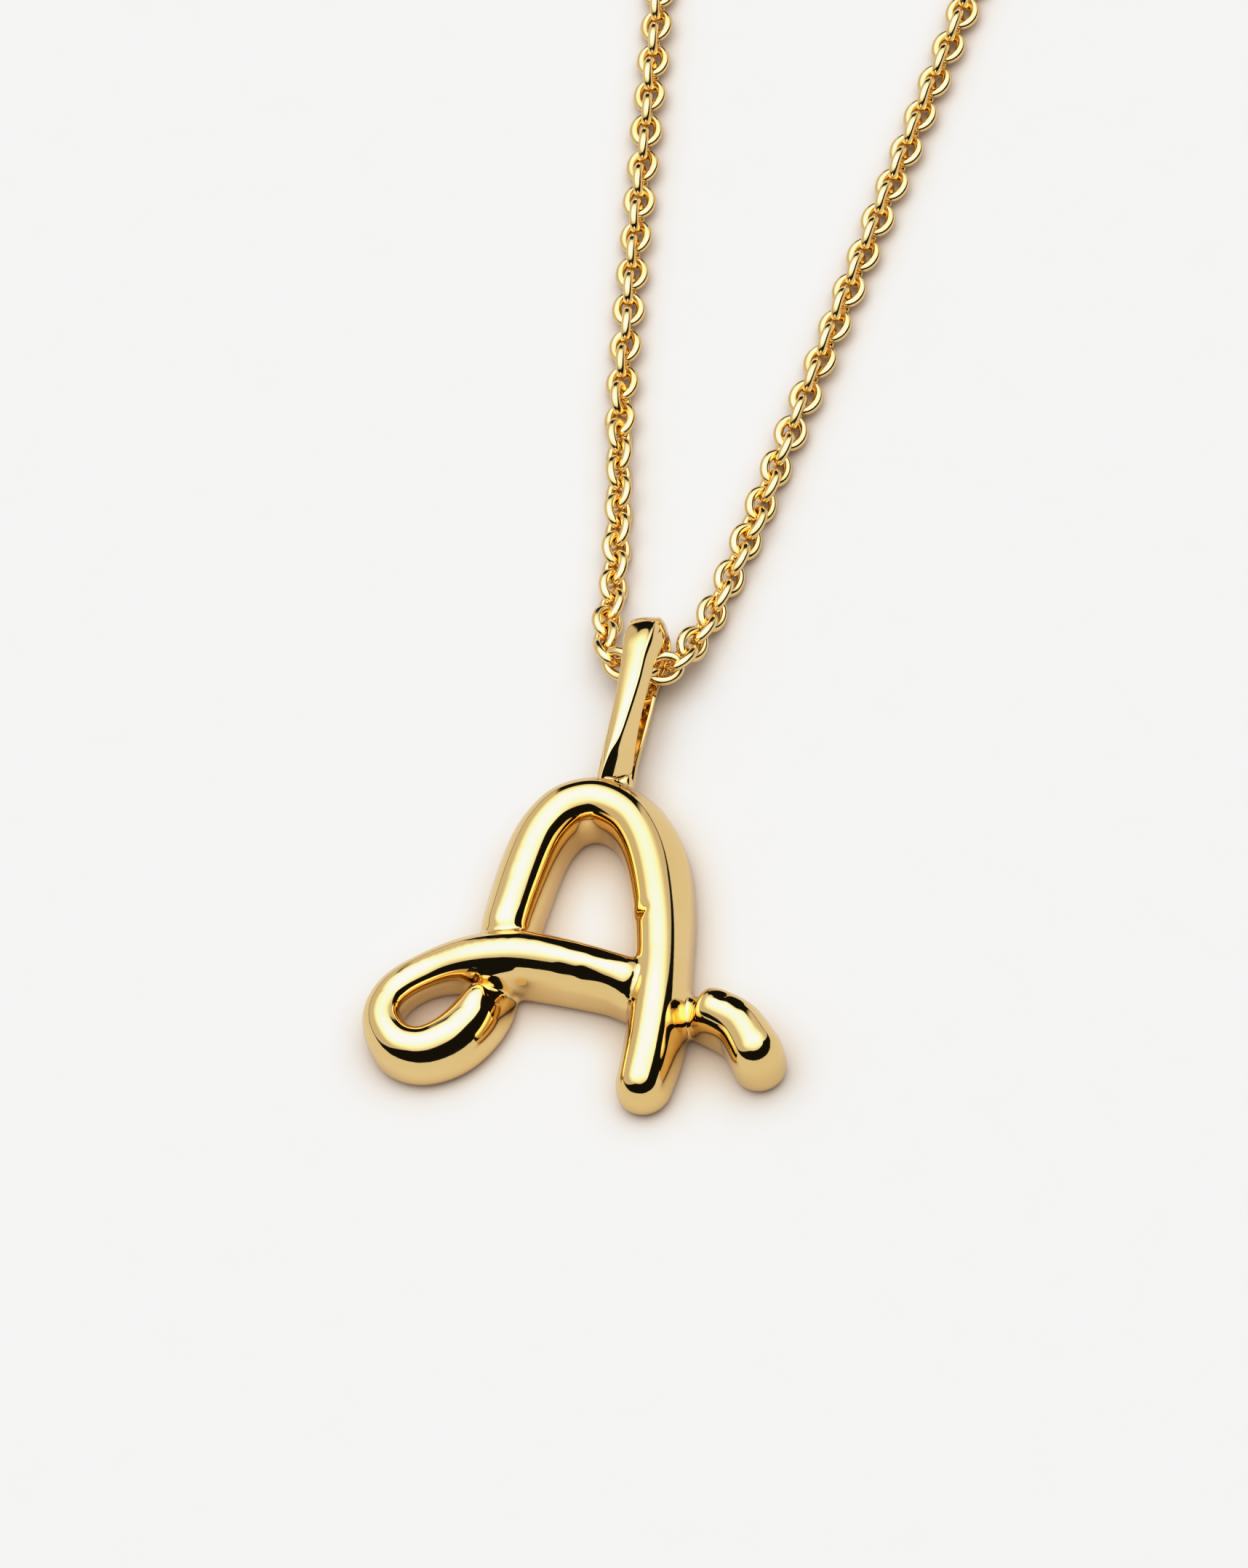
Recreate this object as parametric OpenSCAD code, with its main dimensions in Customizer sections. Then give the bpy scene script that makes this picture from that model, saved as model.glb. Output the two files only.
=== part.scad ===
/* [Letter] */
// Width of the letter from its loop to the end of its tail
letter_w = 16.4; // [15:0.2:20]
// Height of a stroke's crown over its half width
crown_k = 1.4; // [1:0.05:1.5]
// Radius that eases the letter's back edges
back_r = 0.45; // [0.1:0.05:0.6]

/* [Bail] */
// Width of the bail's band halfway up
bail_w = 1.1; // [0.9:0.05:1.2]
// Thickness of the bail's band
bail_t = 0.8; // [0.6:0.05:0.85]

/* [Chain] */
// Length of the whole chain with its clasp
chain_l = 450; // [400:10:600]
// Outer width of a link
chain_d = 1.4; // [1:0.05:1.4]

/* [Clasp] */
// Outer diameter of the clasp's ring
clasp_d = 6; // [5:0.5:8]
// Thickness of the clasp's ring
clasp_t = 1.4; // [1:0.1:1.6]
// Diameter of the holes that the chain's end links pass through
eye_d = 0.8; // [0.6:0.1:1]

/* [Hidden] */

// Steps of the crown's arc from the wall to the ridge
crown_steps = 7;
// Steps of the eased back edge
back_steps = 2;
// Rings between two rows of a stroke's table
row_steps = 4;
// Turns of the rings that round off a stroke's end
cap_angles = [80, 64, 48, 32, 16];

// Width that the strokes' tables are drawn at
drawn_w = 16.4;
letter_k = letter_w / drawn_w;

// Columns of a stroke's table
X = 0;
Y = 1;
HALF = 2;
RIDGE = 3;
LEFT = 4;
RIGHT = 5;

// Stroke from the right foot over the top and down the left leg
arch_rows = letter_k * [
    // x, y, half width, ridge height, foot out on the left, foot out on the right
    [3.32, -3.65, 1.00, 2.15, 0.00, 0.10],
    [3.42, -2.20, 1.02, 2.55, 0.03, 0.15],
    [3.34, -0.30, 1.02, 2.80, 0.05, 0.15],
    [3.08, 1.60, 1.00, 2.80, 0.05, 0.15],
    [2.62, 3.50, 0.98, 2.80, 0.05, 0.35],
    [1.95, 5.40, 0.98, 2.80, 0.00, 0.50],
    [1.24, 6.70, 0.98, 2.80, 0.00, 0.42],
    [0.46, 7.48, 1.00, 2.80, 0.00, 0.25],
    [-0.62, 7.84, 1.02, 2.80, 0.00, 0.05],
    [-1.68, 7.47, 1.04, 2.80, 0.00, 0.05],
    [-2.28, 6.65, 1.06, 2.80, 0.00, 0.05],
    [-2.62, 5.60, 1.08, 2.80, 0.00, 0.10],
    [-2.85, 3.80, 1.08, 2.80, 0.00, 0.05],
    [-2.96, 2.00, 1.02, 2.78, 0.00, 0.05],
    [-3.02, 1.35, 0.95, 2.35, 0.00, 0.00],
    [-3.05, 0.40, 0.90, 1.70, 0.00, 0.00],
];

// Stroke from under the left leg round the loop, over the left leg and out to the tail
loop_rows = letter_k * [
    // x, y, half width, ridge height, foot out on the left, foot out on the right
    [-3.22, -0.35, 0.82, 1.40, 0.27, 0.00],
    [-3.45, -1.10, 0.93, 1.98, 0.32, -0.05],
    [-3.82, -1.95, 0.97, 2.12, 0.32, -0.15],
    [-4.40, -2.75, 0.97, 2.20, 0.28, -0.20],
    [-5.30, -3.28, 0.94, 2.20, 0.20, -0.30],
    [-6.25, -3.15, 0.90, 2.30, 0.10, -0.30],
    [-6.95, -2.20, 0.85, 2.30, 0.00, -0.30],
    [-6.70, -1.00, 0.85, 2.20, 0.00, -0.30],
    [-5.65, -0.05, 0.88, 2.20, 0.00, -0.30],
    [-4.20, 0.52, 0.96, 2.60, 0.00, -0.12],
    [-2.30, 0.80, 0.98, 2.90, 0.00, 0.14],
    [-0.40, 0.64, 0.90, 3.00, 0.00, 0.18],
    [1.40, 0.36, 0.85, 2.95, 0.00, 0.15],
    [2.35, 0.12, 0.96, 2.80, 0.00, 0.08],
    [2.95, -0.06, 0.96, 2.20, 0.00, 0.00],
    [4.30, -0.36, 0.76, 1.60, 0.00, 0.00],
    [4.85, -0.48, 0.80, 1.75, 0.00, 0.00],
    [5.08, -0.55, 0.84, 2.42, 0.00, 0.00],
    [5.45, -0.66, 0.88, 2.82, 0.00, 0.00],
    [6.05, -0.86, 0.91, 2.88, 0.00, 0.00],
    [6.75, -1.24, 0.96, 2.90, 0.00, 0.00],
    [7.50, -2.15, 1.05, 2.90, 0.00, 0.00],
];
// Share of the foot's lean that the crown's lower part already takes
lean_share = 0.8;
// Row at which the loop is split, so that neither half crosses itself
loop_split = 6;

// Columns of the bail's table
BAIL_X = 0;
BAIL_Y = 1;
BAIL_Z = 2;
BAIL_WIDE = 3;

// Height of the letter's edge that the bail is soldered to
foot_y = 8.5 * letter_k;
// Heights of the legs' centrelines, set apart so that the chain runs free between them
leg_low = 0.42;
leg_high = 2.75;
// Bend of the bail's top from the upper leg to the lower one
bend_y = 6;
bend_r = (leg_high - leg_low) / 2;
bend_steps = 5;
bend_wide = 1.25;
// Rise of the band's crown over its side walls
band_crown = 0.4;
band_ease = 0.12;
band_steps = 8;
// Slabs between two rows of the bail's table, and their thickness
bail_steps = 2;
slab_t = 0.06;

bail_rows = concat(
    [
        // x, y from the foot, height of the centreline, width as a share of bail_w
        [0.02, -0.40, 1.90, 1.20],
        [0.00, 0.30, 2.10, 1.15],
        [-0.04, 1.30, 2.30, 1.00],
        [-0.08, 2.70, 2.50, 1.00],
        [-0.11, 4.20, 2.68, 1.05],
        [-0.15, 5.30, leg_high, 1.15],
    ],
    [
        for (s = [0 : bend_steps])
            let (a = 90 - 180 * s / bend_steps)
            [-0.20, bend_y + bend_r * cos(a), leg_low + bend_r + bend_r * sin(a), bend_wide]
    ],
    [
        [-0.15, 5.30, leg_low, 1.15],
        [-0.11, 4.20, 0.45, 1.05],
        [-0.08, 2.70, 0.60, 1.00],
        [-0.04, 1.30, 0.95, 1.00],
        [0.00, 0.30, 1.25, 1.15],
        [0.02, -0.40, 1.35, 1.20],
    ]
);

// Length of chain and clasp that the route is drawn at
drawn_l = 450;
chain_k = chain_l / drawn_l;
// Place along the letter where the chain runs through the bail
cross_y = foot_y + 5.6;
chain_sides = 8;
// Rings between two points of the chain's route
chain_steps = 2;
// Free play between the chain's ends and the clasp
end_play = 0.15;

clasp_from_bail = 203;
// Route from the clasp down to the bail and back: x, y from the bail, rise above lying flat
route = [
    [-15, 200, 0],
    [-24, 193, 0],
    [-29, 182, 0],
    [-30.6, 169, 0],
    [-29.6, 155.5, 0],
    [-27.2, 141, 0],
    [-24, 126, 0],
    [-20.3, 110, 0],
    [-16.5, 93, 0],
    [-13, 76, 0],
    [-10, 59, 0],
    [-7.5, 43, 0],
    [-6.1, 32, 0],
    [-4.9, 22, 0],
    [-3.8, 13.2, 0],
    [-2.7, 7.2, 0],
    [-2.2, 3.6, 0.05],
    [-2, 1.6, 0.45],
    [-1.25, 0.2, 0.86],
    [-0.1, 0, 0.885],
    [0.95, 0.25, 0.85],
    [1.5, 1.6, 0.45],
    [1.95, 3.6, 0.05],
    [2.6, 7.2, 0],
    [3.5, 13.2, 0],
    [4.8, 22, 0],
    [6.3, 32, 0],
    [8, 43, 0],
    [10.3, 59, 0],
    [13.2, 76, 0],
    [16.6, 93, 0],
    [20.3, 110, 0],
    [24, 126, 0],
    [27.2, 141, 0],
    [29.6, 155.5, 0],
    [30.6, 169, 0],
    [29, 182, 0],
    [24, 193, 0],
    [15, 200, 0],
];
clasp_y = cross_y + clasp_from_bail * chain_k;

// Wall between an eye's hole and its outside
eye_wall = 0.55;
eye_t = 0.8;
eye_r = eye_d / 2 + eye_wall;
eye_x = clasp_d / 2 + eye_d / 2;
clasp_half = eye_x + eye_r;

function tangent_at(rows, i) =
    let (a = rows[max(i - 1, 0)], b = rows[min(i + 1, len(rows) - 1)])
    (b - a) / (i == 0 || i == len(rows) - 1 ? 1 : 2);

// Row between rows i and i + 1 on a smooth cubic through the table
function row_between(rows, i, t) =
    let (p = rows[i], q = rows[i + 1], m = tangent_at(rows, i), n = tangent_at(rows, i + 1))
    p * (2 * pow(t, 3) - 3 * pow(t, 2) + 1) + m * (pow(t, 3) - 2 * pow(t, 2) + t)
    + q * (3 * pow(t, 2) - 2 * pow(t, 3)) + n * (pow(t, 3) - pow(t, 2));

// Direction of the cubic at the same place
function slope_between(rows, i, t) =
    let (p = rows[i], q = rows[i + 1], m = tangent_at(rows, i), n = tangent_at(rows, i + 1))
    p * (6 * pow(t, 2) - 6 * t) + m * (3 * pow(t, 2) - 4 * t + 1)
    + q * (6 * t - 6 * pow(t, 2)) + n * (3 * pow(t, 2) - 2 * t);

function smooth_rows(rows, steps) = [
    for (i = [0 : len(rows) - 2], s = [0 : steps - 1]) row_between(rows, i, s / steps),
    rows[len(rows) - 1]
];

function smooth_slopes(rows, steps) = [
    for (i = [0 : len(rows) - 2], s = [0 : steps - 1]) slope_between(rows, i, s / steps),
    slope_between(rows, len(rows) - 2, 1)
];

// Half of the stroke's section from the back to the ridge, as [distance out, height] points
function half_section(half, ridge, out) = [
    for (k = [0 : back_steps]) let (a = 90 * k / back_steps)
        [half + out - back_r * (1 - sin(a)), back_r * (1 - cos(a))],
    for (k = [0 : crown_steps - 1]) let (a = 90 * k / crown_steps)
        [half * cos(a) + lean_share * out * pow(1 - sin(a), 2), ridge - crown_k * half * (1 - sin(a))]
];

// One ring of the stroke, turned by a about the end of its centreline
function ring(row, dir, a) =
    let (mean = (row[LEFT] + row[RIGHT]) / 2,
         turn = abs(sin(a)),
         left = half_section(row[HALF], row[RIDGE], row[LEFT] + (mean - row[LEFT]) * turn),
         right = half_section(row[HALF], row[RIDGE], row[RIGHT] + (mean - row[RIGHT]) * turn),
         d = [dir[X], dir[Y]] / norm([dir[X], dir[Y]]),
         side = [-d[1], d[0]],
         c = [row[X], row[Y]],
         n = len(left))
    [
        for (k = [0 : n - 1])
            let (p = c + side * left[k][0] * cos(a) + d * left[k][0] * sin(a)) [p[0], p[1], left[k][1]],
        [c[0], c[1], row[RIDGE]],
        for (k = [n - 1 : -1 : 0])
            let (p = c - side * right[k][0] * cos(a) + d * right[k][0] * sin(a)) [p[0], p[1], right[k][1]]
    ];

// Closed skin over equal rings, with flat ends zipped from one half of the ring to the other
module skin(rings) {
    n = len(rings[0]);
    m = len(rings);
    half_n = floor((n - 1) / 2);
    function zip(base) = [
        for (j = [0 : half_n - 1])
            let (a = base + j, b = base + n - 1 - j)
            each (b - a > 2 ? [[a, b - 1, b], [a, a + 1, b - 1]] : [[a, a + 1, b]])
    ];
    points = [for (r = rings, p = r) p];
    walls = [
        for (i = [0 : m - 2], j = [0 : n - 1])
            let (a = i * n + j, b = i * n + (j + 1) % n) each [[a, b + n, b], [a, a + n, b + n]]
    ];
    last = [for (f = zip((m - 1) * n)) [f[2], f[1], f[0]]];
    polyhedron(points, concat(walls, zip(0), last));
}

// Stroke along its table from row first to row last, rounded off at a free end
module stroke(rows, first, last, round_start, round_end) {
    all_path = smooth_rows(rows, row_steps);
    all_dirs = smooth_slopes(rows, row_steps);
    path = [for (i = [first * row_steps : last * row_steps]) all_path[i]];
    dirs = [for (i = [first * row_steps : last * row_steps]) all_dirs[i]];
    e = len(path) - 1;
    starts = round_start ? [for (a = cap_angles) ring(path[0], dirs[0], -a)] : [];
    ends = round_end ? [for (k = [len(cap_angles) - 1 : -1 : 0]) ring(path[e], dirs[e], cap_angles[k])] : [];
    skin(concat(starts, [for (i = [0 : e]) ring(path[i], dirs[i], 0)], ends));
}

module letter() {
    stroke(arch_rows, 0, len(arch_rows) - 1, true, true);
    stroke(loop_rows, 0, loop_split, true, false);
    stroke(loop_rows, loop_split, len(loop_rows) - 1, false, true);
}

// Outline of the band's section: flat inside, upright sides and a crowned outside
function band_section(half) = [
    [-half + band_ease, -bail_t / 2],
    [half - band_ease, -bail_t / 2],
    [half, -bail_t / 2 + band_ease],
    for (k = [0 : band_steps])
        let (a = 180 * k / band_steps)
        [half * cos(a), bail_t / 2 - band_crown + band_crown * sin(a)],
    [-half, -bail_t / 2 + band_ease]
];

// Thin slab of the band, square to its direction and with its crown outwards
module band_slab(row, dir) {
    translate([row[BAIL_X], foot_y + row[BAIL_Y], row[BAIL_Z]])
        rotate([atan2(dir[BAIL_Y], -dir[BAIL_Z]), 0, 0])
        linear_extrude(slab_t, center = true)
        polygon(band_section(row[BAIL_WIDE] * bail_w / 2));
}

module bail() {
    path = smooth_rows(bail_rows, bail_steps);
    dirs = smooth_slopes(bail_rows, bail_steps);
    for (i = [0 : len(path) - 2])
        hull() {
            band_slab(path[i], dirs[i]);
            band_slab(path[i + 1], dirs[i + 1]);
        }
}

module pendant() {
    color("gold") {
        letter();
        bail();
    }
}

// Ring of the chain's tube around point c, square to direction d
function tube_ring(c, d) =
    let (f = d / norm(d),
         side = cross(f, [0, 0, 1]) / norm(cross(f, [0, 0, 1])),
         up = cross(side, f),
         r = chain_d / 2 / cos(180 / chain_sides))
    [
        for (k = [0 : chain_sides - 1])
            let (a = (k + 0.5) * 360 / chain_sides) c + r * (side * cos(a) - up * sin(a))
    ];

module chain() {
    end_x = clasp_half + end_play;
    points = concat(
        [[-end_x, clasp_y, chain_d / 2]],
        [for (p = route) [p[0] * chain_k, cross_y + p[1] * chain_k, chain_d / 2 + p[2]]],
        [[end_x, clasp_y, chain_d / 2]]
    );
    path = [for (p = smooth_rows(points, chain_steps)) [p[0], p[1], max(p[2], chain_d / 2)]];
    dirs = smooth_slopes(points, chain_steps);
    color("goldenrod") skin([for (i = [0 : len(path) - 1]) tube_ring(path[i], dirs[i])]);
}

module clasp_eye(side) {
    translate([side * eye_x, 0, -eye_t / 2])
        linear_extrude(eye_t)
        difference() {
            circle(eye_r, $fn = 32);
            circle(d = eye_d, $fn = 32);
        }
}

module clasp() {
    color("gold")
        translate([0, clasp_y, clasp_t / 2]) {
            rotate_extrude($fn = 48)
                translate([(clasp_d - clasp_t) / 2, 0])
                circle(d = clasp_t, $fn = 24);
            clasp_eye(-1);
            clasp_eye(1);
        }
}

pendant();
chain();
clasp();
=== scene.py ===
"""Looks of a letter pendant on a cable chain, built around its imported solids."""

import sys

import logging
import math
import random
from collections.abc import Sequence
from dataclasses import dataclass
from enum import Enum
from typing import Any

import bmesh
import bpy
from mathutils import Matrix, Vector


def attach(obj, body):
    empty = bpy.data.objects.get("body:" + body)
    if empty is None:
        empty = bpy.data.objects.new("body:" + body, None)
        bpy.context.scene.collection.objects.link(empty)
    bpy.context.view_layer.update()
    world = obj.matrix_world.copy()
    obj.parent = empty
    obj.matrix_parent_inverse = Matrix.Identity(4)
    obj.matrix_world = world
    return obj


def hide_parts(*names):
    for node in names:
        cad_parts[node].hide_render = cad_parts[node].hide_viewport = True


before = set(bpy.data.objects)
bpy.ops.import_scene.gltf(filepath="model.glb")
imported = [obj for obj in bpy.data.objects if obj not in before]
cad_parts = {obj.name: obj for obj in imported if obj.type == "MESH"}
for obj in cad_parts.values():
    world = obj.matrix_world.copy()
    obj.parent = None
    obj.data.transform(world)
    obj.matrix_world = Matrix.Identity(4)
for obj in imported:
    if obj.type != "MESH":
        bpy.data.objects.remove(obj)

MM = 0.001
LOG = logging.getLogger("pendant")
WELD = 0.0001

Row = tuple[float, ...]
Span = tuple[float, float]
Net = tuple[int, int]
Colour = tuple[float, float, float]

WHITE: Colour = (1.0, 1.0, 1.0)


def ease(low: float, high: float, value: float) -> float:
    """Returns 0 below low, 1 above high and a smooth step between them."""
    t = min(max((value - low) / (high - low), 0.0), 1.0)
    return t * t * (3 - 2 * t)


class Wire:
    """A node's output socket that takes part in arithmetic."""

    def __init__(self, shader: "Shader", socket: bpy.types.NodeSocket) -> None:
        """Keeps the socket and the shader that it belongs to."""
        self.shader = shader
        self.socket = socket

    def __add__(self, other: "Wire | float") -> "Wire":
        """Returns self + other."""
        return self.shader.maths("ADD", self, other)

    def __radd__(self, other: float) -> "Wire":
        """Returns other + self."""
        return self.shader.maths("ADD", other, self)

    def __sub__(self, other: "Wire | float") -> "Wire":
        """Returns self - other."""
        return self.shader.maths("SUBTRACT", self, other)

    def __rsub__(self, other: float) -> "Wire":
        """Returns other - self."""
        return self.shader.maths("SUBTRACT", other, self)

    def __mul__(self, other: "Wire | float") -> "Wire":
        """Returns self * other."""
        return self.shader.maths("MULTIPLY", self, other)

    def __rmul__(self, other: float) -> "Wire":
        """Returns other * self."""
        return self.shader.maths("MULTIPLY", other, self)

    def __truediv__(self, other: "Wire | float") -> "Wire":
        """Returns self / other."""
        return self.shader.maths("DIVIDE", self, other)

    def smooth(
        self, low: "Wire | float", high: "Wire | float", start: float = 0, end: float = 1
    ) -> "Wire":
        """Maps the value smoothly from one range to another.

        Args:
            low: Value that gives start.
            high: Value that gives end.
            start: Result at low and below.
            end: Result at high and above.

        Returns:
            The mapped value.
        """
        return self.shader.node(
            "ShaderNodeMapRange",
            {"interpolation_type": "SMOOTHSTEP"},
            {"Value": self, "From Min": low, "From Max": high, "To Min": start, "To Max": end},
        )


class Shader:
    """A node tree that is built one node at a time."""

    # the colour sockets of a Mix node, whose names stand for several sockets
    MIX_SIDES = (6, 7)
    MIX_RESULT = 2

    def __init__(self, tree: bpy.types.NodeTree) -> None:
        """Empties the tree and keeps it."""
        self.tree = tree
        tree.nodes.clear()

    def node(
        self,
        kind: str,
        settings: dict[str, Any] | None = None,
        inputs: dict[str | int, Any] | None = None,
        output: str | int = 0,
    ) -> Wire:
        """Adds a node, sets it and joins its inputs.

        Args:
            kind: The node's type.
            settings: Attributes that are set first.
            inputs: Values or wires by socket name or number.
            output: Name or number of the output that is returned.

        Returns:
            The node's output.
        """
        made = self.tree.nodes.new(kind)
        for name, value in (settings or {}).items():
            setattr(made, name, value)
        for name, value in (inputs or {}).items():
            if isinstance(value, Wire):
                self.tree.links.new(value.socket, made.inputs[name])
            else:
                made.inputs[name].default_value = value
        return Wire(self, made.outputs[output] if made.outputs else None)

    def maths(self, operation: str, *values: Wire | float) -> Wire:
        """Adds a Math node.

        Args:
            operation: The Math node's operation.
            values: What its inputs take, in order.

        Returns:
            The node's result.
        """
        return self.node("ShaderNodeMath", {"operation": operation}, dict(enumerate(values)))

    def mix(self, factor: Wire | float, first: Wire | Colour, second: Wire | Colour) -> Wire:
        """Mixes two colours.

        Args:
            factor: Share of the second colour.
            first: Colour at 0.
            second: Colour at 1.

        Returns:
            The mixed colour.
        """
        sides = {}
        for number, side in zip(self.MIX_SIDES, (first, second)):
            sides[number] = side if isinstance(side, Wire) else (*side, 1.0)
        return self.node("ShaderNodeMix", {"data_type": "RGBA"}, {0: factor, **sides}, self.MIX_RESULT)

    def noise(self, place: Wire, length: float, detail: float, roughness: float = 0.5) -> Wire:
        """Adds a noise that varies around 0.5.

        Args:
            place: Where it is read.
            length: Size of its patterns, in millimetres.
            detail: How many finer layers it has.
            roughness: How strong they are.

        Returns:
            The noise's value.
        """
        return self.node(
            "ShaderNodeTexNoise",
            {"noise_dimensions": "3D"},
            {"Vector": place, "Scale": 1 / (length * MM), "Detail": detail, "Roughness": roughness},
        )


class Draw(Enum):
    """Directions that a piece was polished or drawn in."""

    LENGTHWISE = (1.0, 0.06, 1.0)
    EVERY_WAY = (1.0, 1.0, 1.0)


@dataclass(frozen=True)
class GoldFinish:
    """Polished gold with the small unevenness that a buffed surface keeps.

    Lengths are in millimetres. Depths are of the bump, and are tiny.

    Attributes:
        name: The material's name.
        colour: Its usual colour.
        deep: Its colour in deeper patches.
        cloud_length: Size of these patches.
        cloud_span: Values of the noise that give the two colours.
        gloss: Roughness where it is polished best.
        haze: Roughness where it is hazy.
        smear_length: Size of the hazy patches.
        smear_span: Values of the noise that give these two.
        wave_length: Size of the waves that buffing leaves.
        wave_depth: Their depth.
        hair_length: Size of the hairlines.
        hair_depth: Their depth.
        draw: Direction of haze and hairlines.
    """

    name: str
    colour: Colour = (0.88, 0.64, 0.29)
    deep: Colour = (0.85, 0.6, 0.245)
    cloud_length: float = 4.0
    cloud_span: Span = (0.3, 0.7)
    gloss: float = 0.035
    haze: float = 0.075
    smear_length: float = 0.7
    smear_span: Span = (0.3, 0.75)
    wave_length: float = 1.6
    wave_depth: float = 0.0012
    hair_length: float = 0.09
    hair_depth: float = 0.00006
    draw: Draw = Draw.LENGTHWISE

    def material(self) -> bpy.types.Material:
        """Builds the material.

        Returns:
            A gold whose colour, roughness and bump vary over the surface.
        """
        made = bpy.data.materials.new(self.name)
        made.use_nodes = True
        shader = Shader(made.node_tree)
        place = shader.node("ShaderNodeTexCoord", output="Object")
        drawn = shader.node("ShaderNodeMapping", inputs={"Vector": place, "Scale": self.draw.value})
        cloud = shader.noise(place, self.cloud_length, detail=3)
        smear = shader.noise(drawn, self.smear_length, detail=4, roughness=0.6)
        waves = shader.noise(place, self.wave_length, detail=1)
        hairs = shader.noise(drawn, self.hair_length, detail=3, roughness=0.65)
        height = waves * (self.wave_depth * MM) + hairs * (self.hair_depth * MM)
        bump = shader.node("ShaderNodeBump", inputs={"Strength": 1.0, "Distance": 1.0, "Height": height})
        surface = shader.node(
            "ShaderNodeBsdfPrincipled",
            inputs={
                "Base Color": shader.mix(cloud.smooth(*self.cloud_span), self.colour, self.deep),
                "Metallic": 1.0,
                "Roughness": smear.smooth(*self.smear_span, self.gloss, self.haze),
                "Normal": bump,
            },
        )
        shader.node("ShaderNodeOutputMaterial", inputs={"Surface": surface})
        return made


@dataclass(frozen=True)
class PaperFinish:
    """Pale matt card that the necklace lies on, brighter to the eye than in the gold.

    Lengths are in millimetres.

    Attributes:
        name: The material's name.
        mirrored: Its shade as the gold reflects it.
        seen: Its shade to the camera.
        hollow: Painted warm shade where things close to it shut out the light, for shadow and the gold's
            bounce light.
        reach: How far away such things may be.
        rays: How many directions are tried for them.
        mottle: Its darkest share of tone.
        mottle_span: Values of the noise that give the darkest and the full tone.
        grain: Size of the tone's patches.
        matt: Its roughness.
        sheen: What is left of its gloss.
    """

    name: str = "pale_card"
    mirrored: float = 0.51
    seen: float = 0.62
    hollow: Colour = (0.88, 0.66, 0.46)
    reach: float = 1.8
    rays: int = 8
    mottle: float = 0.985
    mottle_span: Span = (0.3, 0.7)
    grain: float = 2.2
    matt: float = 0.9
    sheen: float = 0.1

    def material(self) -> bpy.types.Material:
        """Builds the material.

        Returns:
            A matt white with a faint uneven tone, and painted warm shade near things that shut out its
            light.
        """
        made = bpy.data.materials.new(self.name)
        made.use_nodes = True
        shader = Shader(made.node_tree)
        place = shader.node("ShaderNodeTexCoord", output="Object")
        tone = shader.noise(place, self.grain, detail=4).smooth(*self.mottle_span, self.mottle, 1.0)
        seen = shader.node("ShaderNodeLightPath", output="Is Camera Ray")
        value = (seen * (self.seen - self.mirrored) + self.mirrored) * tone
        # painted shade: the card's colour is darkened and warmed where nearby things shut out the light,
        # standing in for contact shadow and the gold's bounce light
        open_share = shader.node(
            "ShaderNodeAmbientOcclusion", {"samples": self.rays}, {"Distance": self.reach * MM}, output="AO"
        )
        tint = shader.mix(open_share, self.hollow, WHITE)
        colour = shader.node(
            "ShaderNodeVectorMath", {"operation": "SCALE"}, {"Vector": tint, "Scale": value}
        )
        surface = shader.node(
            "ShaderNodeBsdfPrincipled",
            inputs={"Base Color": colour, "Roughness": self.matt, "Specular IOR Level": self.sheen},
        )
        shader.node("ShaderNodeOutputMaterial", inputs={"Surface": surface})
        return made


@dataclass(frozen=True)
class SmoothTable:
    """A smooth cubic through rows of numbers."""

    rows: Sequence[Row]

    def _ends(self, place: float) -> tuple[int, float]:
        """Returns the span that a place falls in and the share of it."""
        span = min(int(place), len(self.rows) - 2)
        return span, place - span

    def _tangent(self, number: int) -> list[float]:
        """Returns the slope at a row."""
        last = len(self.rows) - 1
        before, after = self.rows[max(number - 1, 0)], self.rows[min(number + 1, last)]
        over = 1 if number in (0, last) else 2
        return [(b - a) / over for a, b in zip(before, after)]

    def _mixed(self, span: int, weights: Row) -> list[float]:
        """Returns the rows and slopes at both ends of a span, added up by their weights."""
        parts = (self.rows[span], self._tangent(span), self.rows[span + 1], self._tangent(span + 1))
        return [sum(w * v for w, v in zip(weights, column)) for column in zip(*parts)]

    def at(self, place: float) -> list[float]:
        """Returns the row at a place, counted in rows from the start."""
        i, t = self._ends(place)
        weights = (2 * t**3 - 3 * t**2 + 1, t**3 - 2 * t**2 + t, 3 * t**2 - 2 * t**3, t**3 - t**2)
        return self._mixed(i, weights)

    def slope(self, place: float) -> list[float]:
        """Returns the direction at a place."""
        i, t = self._ends(place)
        weights = (6 * t**2 - 6 * t, 3 * t**2 - 4 * t + 1, 6 * t - 6 * t**2, 3 * t**2 - 2 * t)
        return self._mixed(i, weights)


def solid_from(name: str, mesh: bmesh.types.BMesh, material: bpy.types.Material) -> bpy.types.Object:
    """Turns a bmesh in millimetres into a smooth-shaded piece in metres.

    Args:
        name: The piece's name.
        mesh: Its shape, which is freed.
        material: Its finish.

    Returns:
        The piece's object at the origin.
    """
    bmesh.ops.scale(mesh, vec=(MM, MM, MM), verts=mesh.verts)
    for face in mesh.faces:
        face.smooth = True
    data = bpy.data.meshes.new(name)
    mesh.to_mesh(data)
    mesh.free()
    data.materials.append(material)
    made = bpy.data.objects.new(name, data)
    bpy.context.scene.collection.objects.link(made)
    return made


def edges_of(ring: list[bmesh.types.BMVert]) -> list[bmesh.types.BMEdge]:
    """Returns the edges that run round a ring, each once."""
    inside = set(ring)
    return list(dict.fromkeys(e for v in ring for e in v.link_edges if e.other_vert(v) in inside))


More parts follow.
